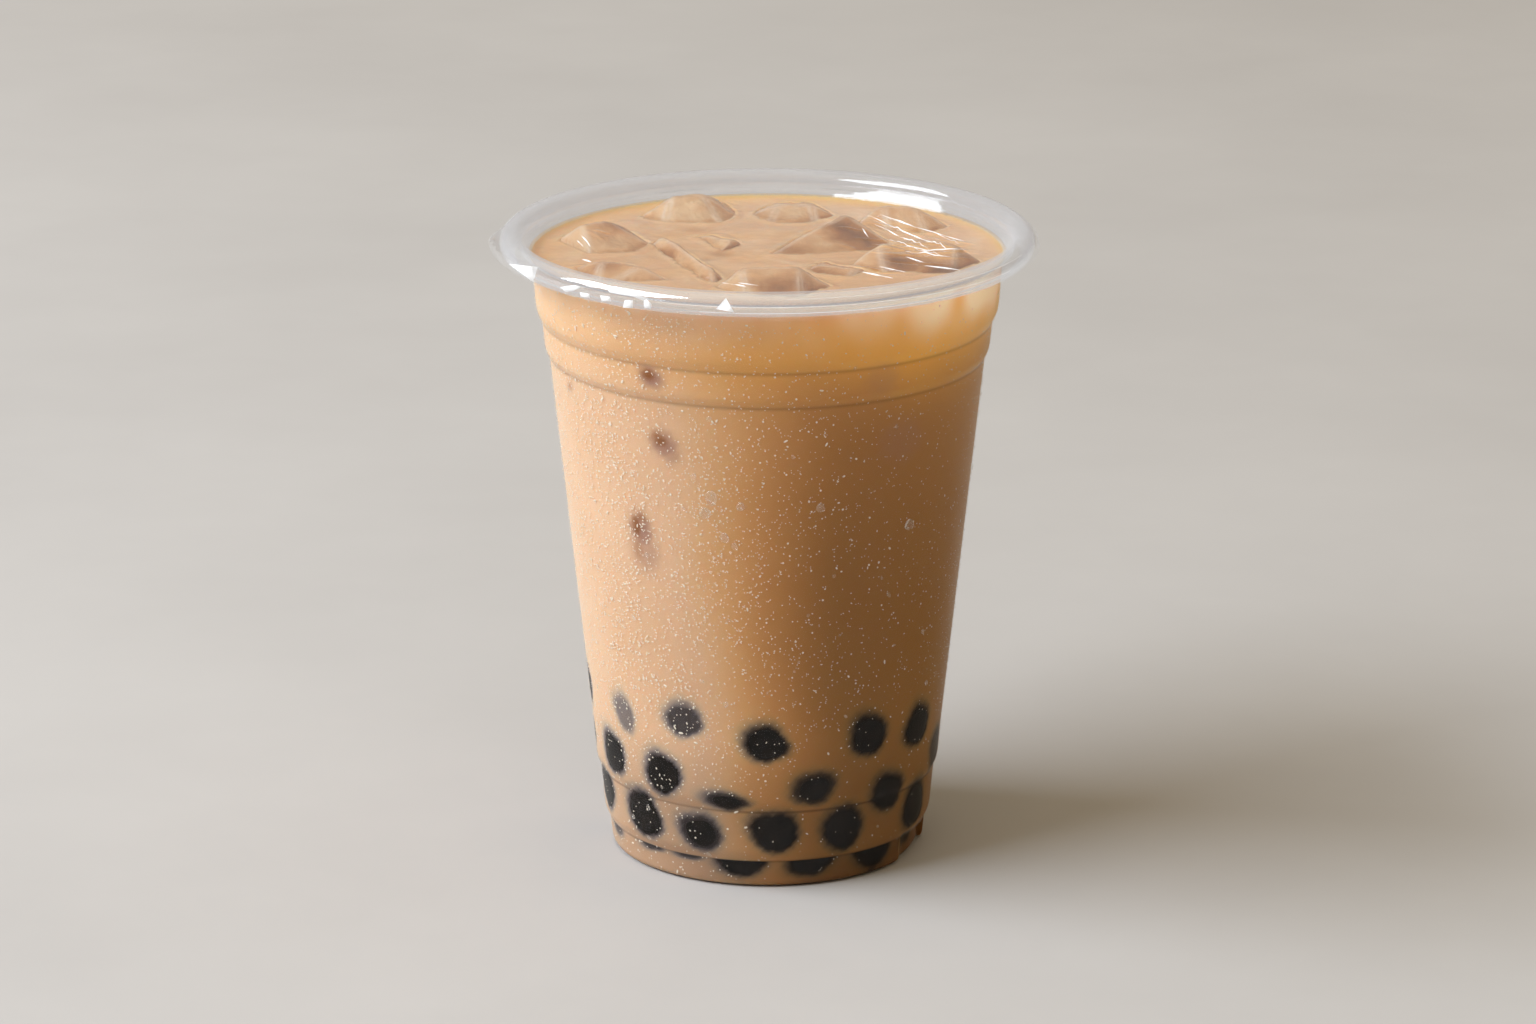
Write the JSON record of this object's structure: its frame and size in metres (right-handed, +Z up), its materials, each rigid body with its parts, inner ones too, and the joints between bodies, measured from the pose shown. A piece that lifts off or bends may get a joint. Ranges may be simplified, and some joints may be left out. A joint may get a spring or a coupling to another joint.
{
  "type": "bubble tea",
  "caption": "Iced milk tea with tapioca pearls, sealed under clear film in a tapered clear plastic cup with a rolled rim, stacking steps and a stepped foot.",
  "frame": {"origin": "on the cup's axis, on the plane the foot stands on", "axes": "+Z up along the cup's axis, -Y towards the front of the view, +X to the viewer's right"},
  "size_m": [0.098, 0.0952, 0.1141],
  "materials": {
    "cup_plastic": "clear polypropylene, glossy, wet with fine condensation",
    "milk_tea": "opaque milk tea, wet surface",
    "film": "thin clear sealing film, glossy, creased"
  },
  "bodies": {
    "root": {"cup": "cup_plastic", "milk_tea": "milk_tea", "seal_film": "film"}
  },
  "joints": []
}
